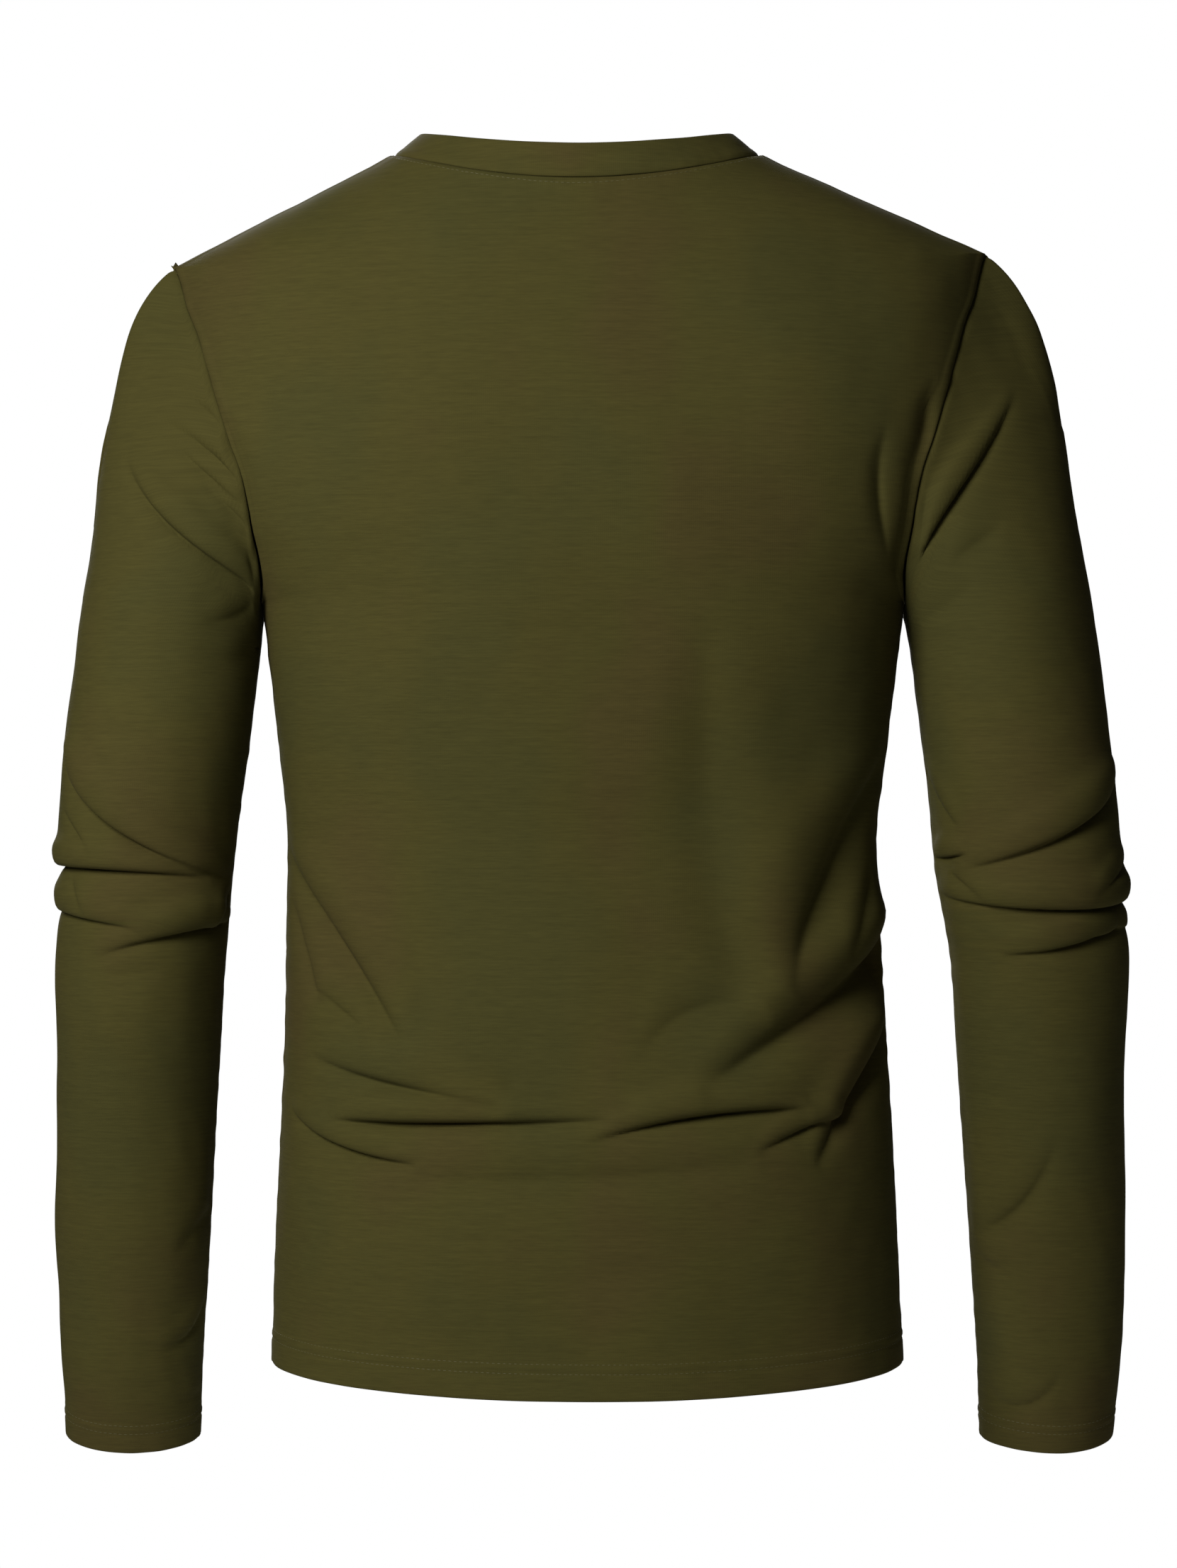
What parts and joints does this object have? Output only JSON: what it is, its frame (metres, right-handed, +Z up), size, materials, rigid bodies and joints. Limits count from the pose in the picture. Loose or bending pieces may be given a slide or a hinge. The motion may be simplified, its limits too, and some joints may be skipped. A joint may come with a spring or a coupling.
{
  "type": "long-sleeve t-shirt",
  "caption": "Man's long-sleeve crew-neck T-shirt in cotton jersey, filled out with no wearer, with set-in sleeves and creased elbows.",
  "frame": {"origin": "on the shirt's centre line, level with the neck ends of the two shoulder seams, inside the neck opening", "axes": "+Z up, -Y out of the chest, +X towards the wearer's left"},
  "size_m": [0.6096, 0.2249, 0.7471],
  "materials": {
    "jersey": "matt olive-green cotton single jersey with faint slubs",
    "band": "matt olive-green cotton jersey, cut as a strip and folded double"
  },
  "bodies": {
    "root": {"back": "jersey", "front": "jersey", "sleeve_left": "jersey", "sleeve_right": "jersey", "neckband": "band"}
  },
  "joints": []
}
